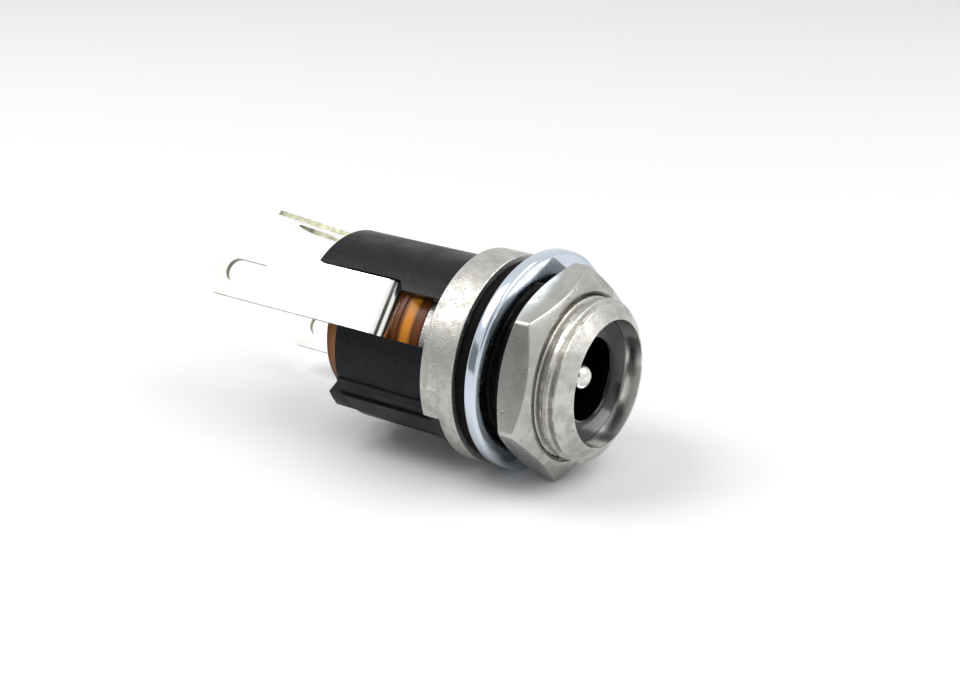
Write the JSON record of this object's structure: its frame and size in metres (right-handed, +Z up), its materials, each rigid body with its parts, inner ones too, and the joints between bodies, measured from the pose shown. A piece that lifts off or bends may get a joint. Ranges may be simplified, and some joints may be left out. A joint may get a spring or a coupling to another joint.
{
  "type": "dc barrel jack",
  "caption": "Panel-mount DC barrel jack: threaded metal bush with hex nut and ring washer, slotted black housing, stacked insulators, centre pin and three slotted solder lugs",
  "frame": {"origin": "Centre of the flange's front face, on the jack's axis, where the panel seats", "axes": "+X along the jack's axis and out of its mouth, the way a plug is pulled out; +Z up as the jack lies on its side; +Y completes the frame"},
  "size_m": [0.0333, 0.0166, 0.0166],
  "materials": {
    "plated_bush": "nickel plated, worn bright on the thread and frosted on the flange",
    "satin_nickel": "satin nickel plate",
    "zinc_steel": "bright bluish zinc",
    "black_rubber": "matte",
    "black_gloss": "glossy",
    "black_moulding": "satin moulding",
    "amber_phenolic": "satin phenolic board",
    "brown_phenolic": "satin phenolic board",
    "tinned_contact": "bright tin plate",
    "bright_pin": "polished nickel plate"
  },
  "bodies": {
    "root": {"threaded_bush": "plated_bush", "hex_nut": "satin_nickel", "ring_washer": "zinc_steel", "sealing_gasket": "black_rubber", "bore_liner": "black_gloss", "housing": "black_moulding", "front_ring": "amber_phenolic", "thin_ring": "amber_phenolic", "sleeve_contact": "tinned_contact", "spacer": "black_moulding", "switch_contact": "tinned_contact", "rear_disc": "brown_phenolic", "pin_terminal": "tinned_contact", "centre_pin": "bright_pin"}
  },
  "joints": []
}
